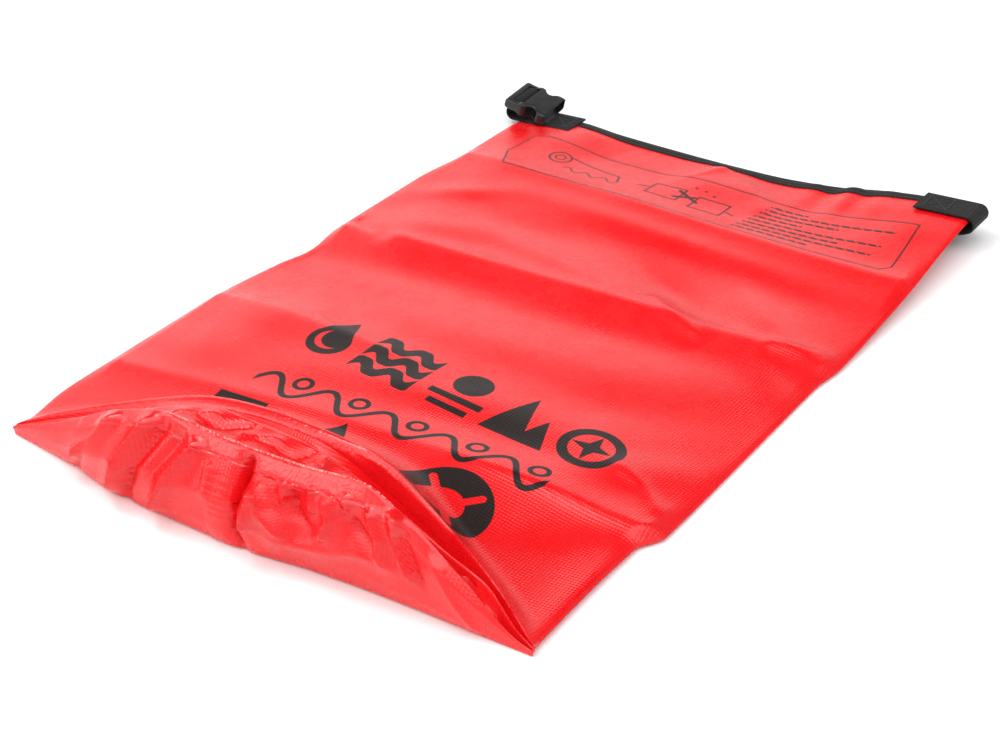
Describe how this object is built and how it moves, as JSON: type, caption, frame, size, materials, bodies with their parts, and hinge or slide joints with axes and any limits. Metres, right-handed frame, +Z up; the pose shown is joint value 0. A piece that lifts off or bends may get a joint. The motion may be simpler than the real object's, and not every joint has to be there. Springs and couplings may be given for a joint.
{
  "type": "dry bag",
  "caption": "Roll-top dry bag of coated fabric lying flat and empty, with a stiffened bound mouth, corner straps and a side-release buckle.",
  "frame": {"origin": "centre of the flat bag's footprint, on the ground it rests on", "axes": "+Z up, +Y from the base to the mouth, +X to the corner whose strap carries the plug half of the buckle"},
  "size_m": [0.3776, 0.5562, 0.0603],
  "materials": {
    "coated_fabric": "satin PVC-coated woven fabric with the scrim just showing",
    "seam_tape": "glossier welded tape",
    "stiffener_plastic": "matt polyethylene strip",
    "binding_tape": "woven grosgrain tape",
    "thread": "bonded thread",
    "webbing": "ribbed woven webbing",
    "buckle_plastic": "satin moulded acetal"
  },
  "bodies": {
    "bag": {"tube_wall": "coated_fabric", "lap_weld": "coated_fabric", "base_disc": "coated_fabric", "base_seam_tape": "seam_tape"},
    "turn_3": {"tube_fold_3": "coated_fabric"},
    "turn_2": {"tube_fold_2": "coated_fabric"},
    "rim": {"tube_rim": "coated_fabric", "stiffener_blade": "stiffener_plastic", "mouth_binding": "binding_tape", "binding_thread": "thread", "left_strap_patch": "webbing", "left_box_stitch": "thread", "right_strap_patch": "webbing", "right_box_stitch": "thread"},
    "left_strap": {"left_strap_loop": "webbing"},
    "socket": {"buckle_socket": "buckle_plastic"},
    "right_strap": {"right_strap_loop": "webbing"},
    "plug": {"buckle_plug": "buckle_plastic"},
    "arm_near": {"release_arm_near": "buckle_plastic"},
    "arm_far": {"release_arm_far": "buckle_plastic"}
  },
  "joints": [
    {"name": "roll_turn_3", "type": "hinge", "parent": "bag", "child": "turn_3", "pos_m": [-0.00015, 0.156, 0.013], "axis": [0.9986, 0, 0.0523], "range_deg": [0, 120]},
    {"name": "roll_turn_2", "type": "hinge", "parent": "turn_3", "child": "turn_2", "pos_m": [-0.00015, 0.203, 0.013], "axis": [0.9986, 0, 0.0523], "range_deg": [0, 120]},
    {"name": "roll_turn_1", "type": "hinge", "parent": "turn_2", "child": "rim", "pos_m": [-0.00015, 0.239, 0.013], "axis": [0.9986, 0, 0.0523], "range_deg": [0, 120]},
    {"name": "left_strap_swing", "type": "hinge", "parent": "rim", "child": "left_strap", "pos_m": [-0.18462, 0.2555, 0.00954], "axis": [0, -1, 0], "range_deg": [0, 180]},
    {"name": "right_strap_swing", "type": "hinge", "parent": "rim", "child": "right_strap", "pos_m": [0.18297, 0.2555, 0.02024], "axis": [0, -1, 0], "range_deg": [0, 180]},
    {"name": "socket_pivot", "type": "hinge", "parent": "left_strap", "child": "socket", "pos_m": [-0.17662, 0.2555, 0.01742], "axis": [0, -1, 0], "range_deg": [0, 80]},
    {"name": "plug_pivot", "type": "hinge", "parent": "right_strap", "child": "plug", "pos_m": [0.17007, 0.2555, 0.01325], "axis": [0, -1, 0], "range_deg": [0, 66]},
    {"name": "near_arm_squeeze", "type": "hinge", "parent": "plug", "child": "arm_near", "pos_m": [0.15812, 0.2457, 0.0096], "axis": [0.2924, 0, -0.9563], "range_deg": [0, 6.5]},
    {"name": "far_arm_squeeze", "type": "hinge", "parent": "plug", "child": "arm_far", "pos_m": [0.15812, 0.2653, 0.0096], "axis": [-0.2924, 0, 0.9563], "range_deg": [0, 6.5]}
  ],
  "couplings": [
    {"joint": "roll_turn_2", "follows": "roll_turn_3", "ratio": 1},
    {"joint": "roll_turn_1", "follows": "roll_turn_3", "ratio": 1},
    {"joint": "left_strap_swing", "follows": "roll_turn_3", "ratio": 1.5},
    {"joint": "right_strap_swing", "follows": "roll_turn_3", "ratio": 1.5},
    {"joint": "far_arm_squeeze", "follows": "near_arm_squeeze", "ratio": 1}
  ]
}
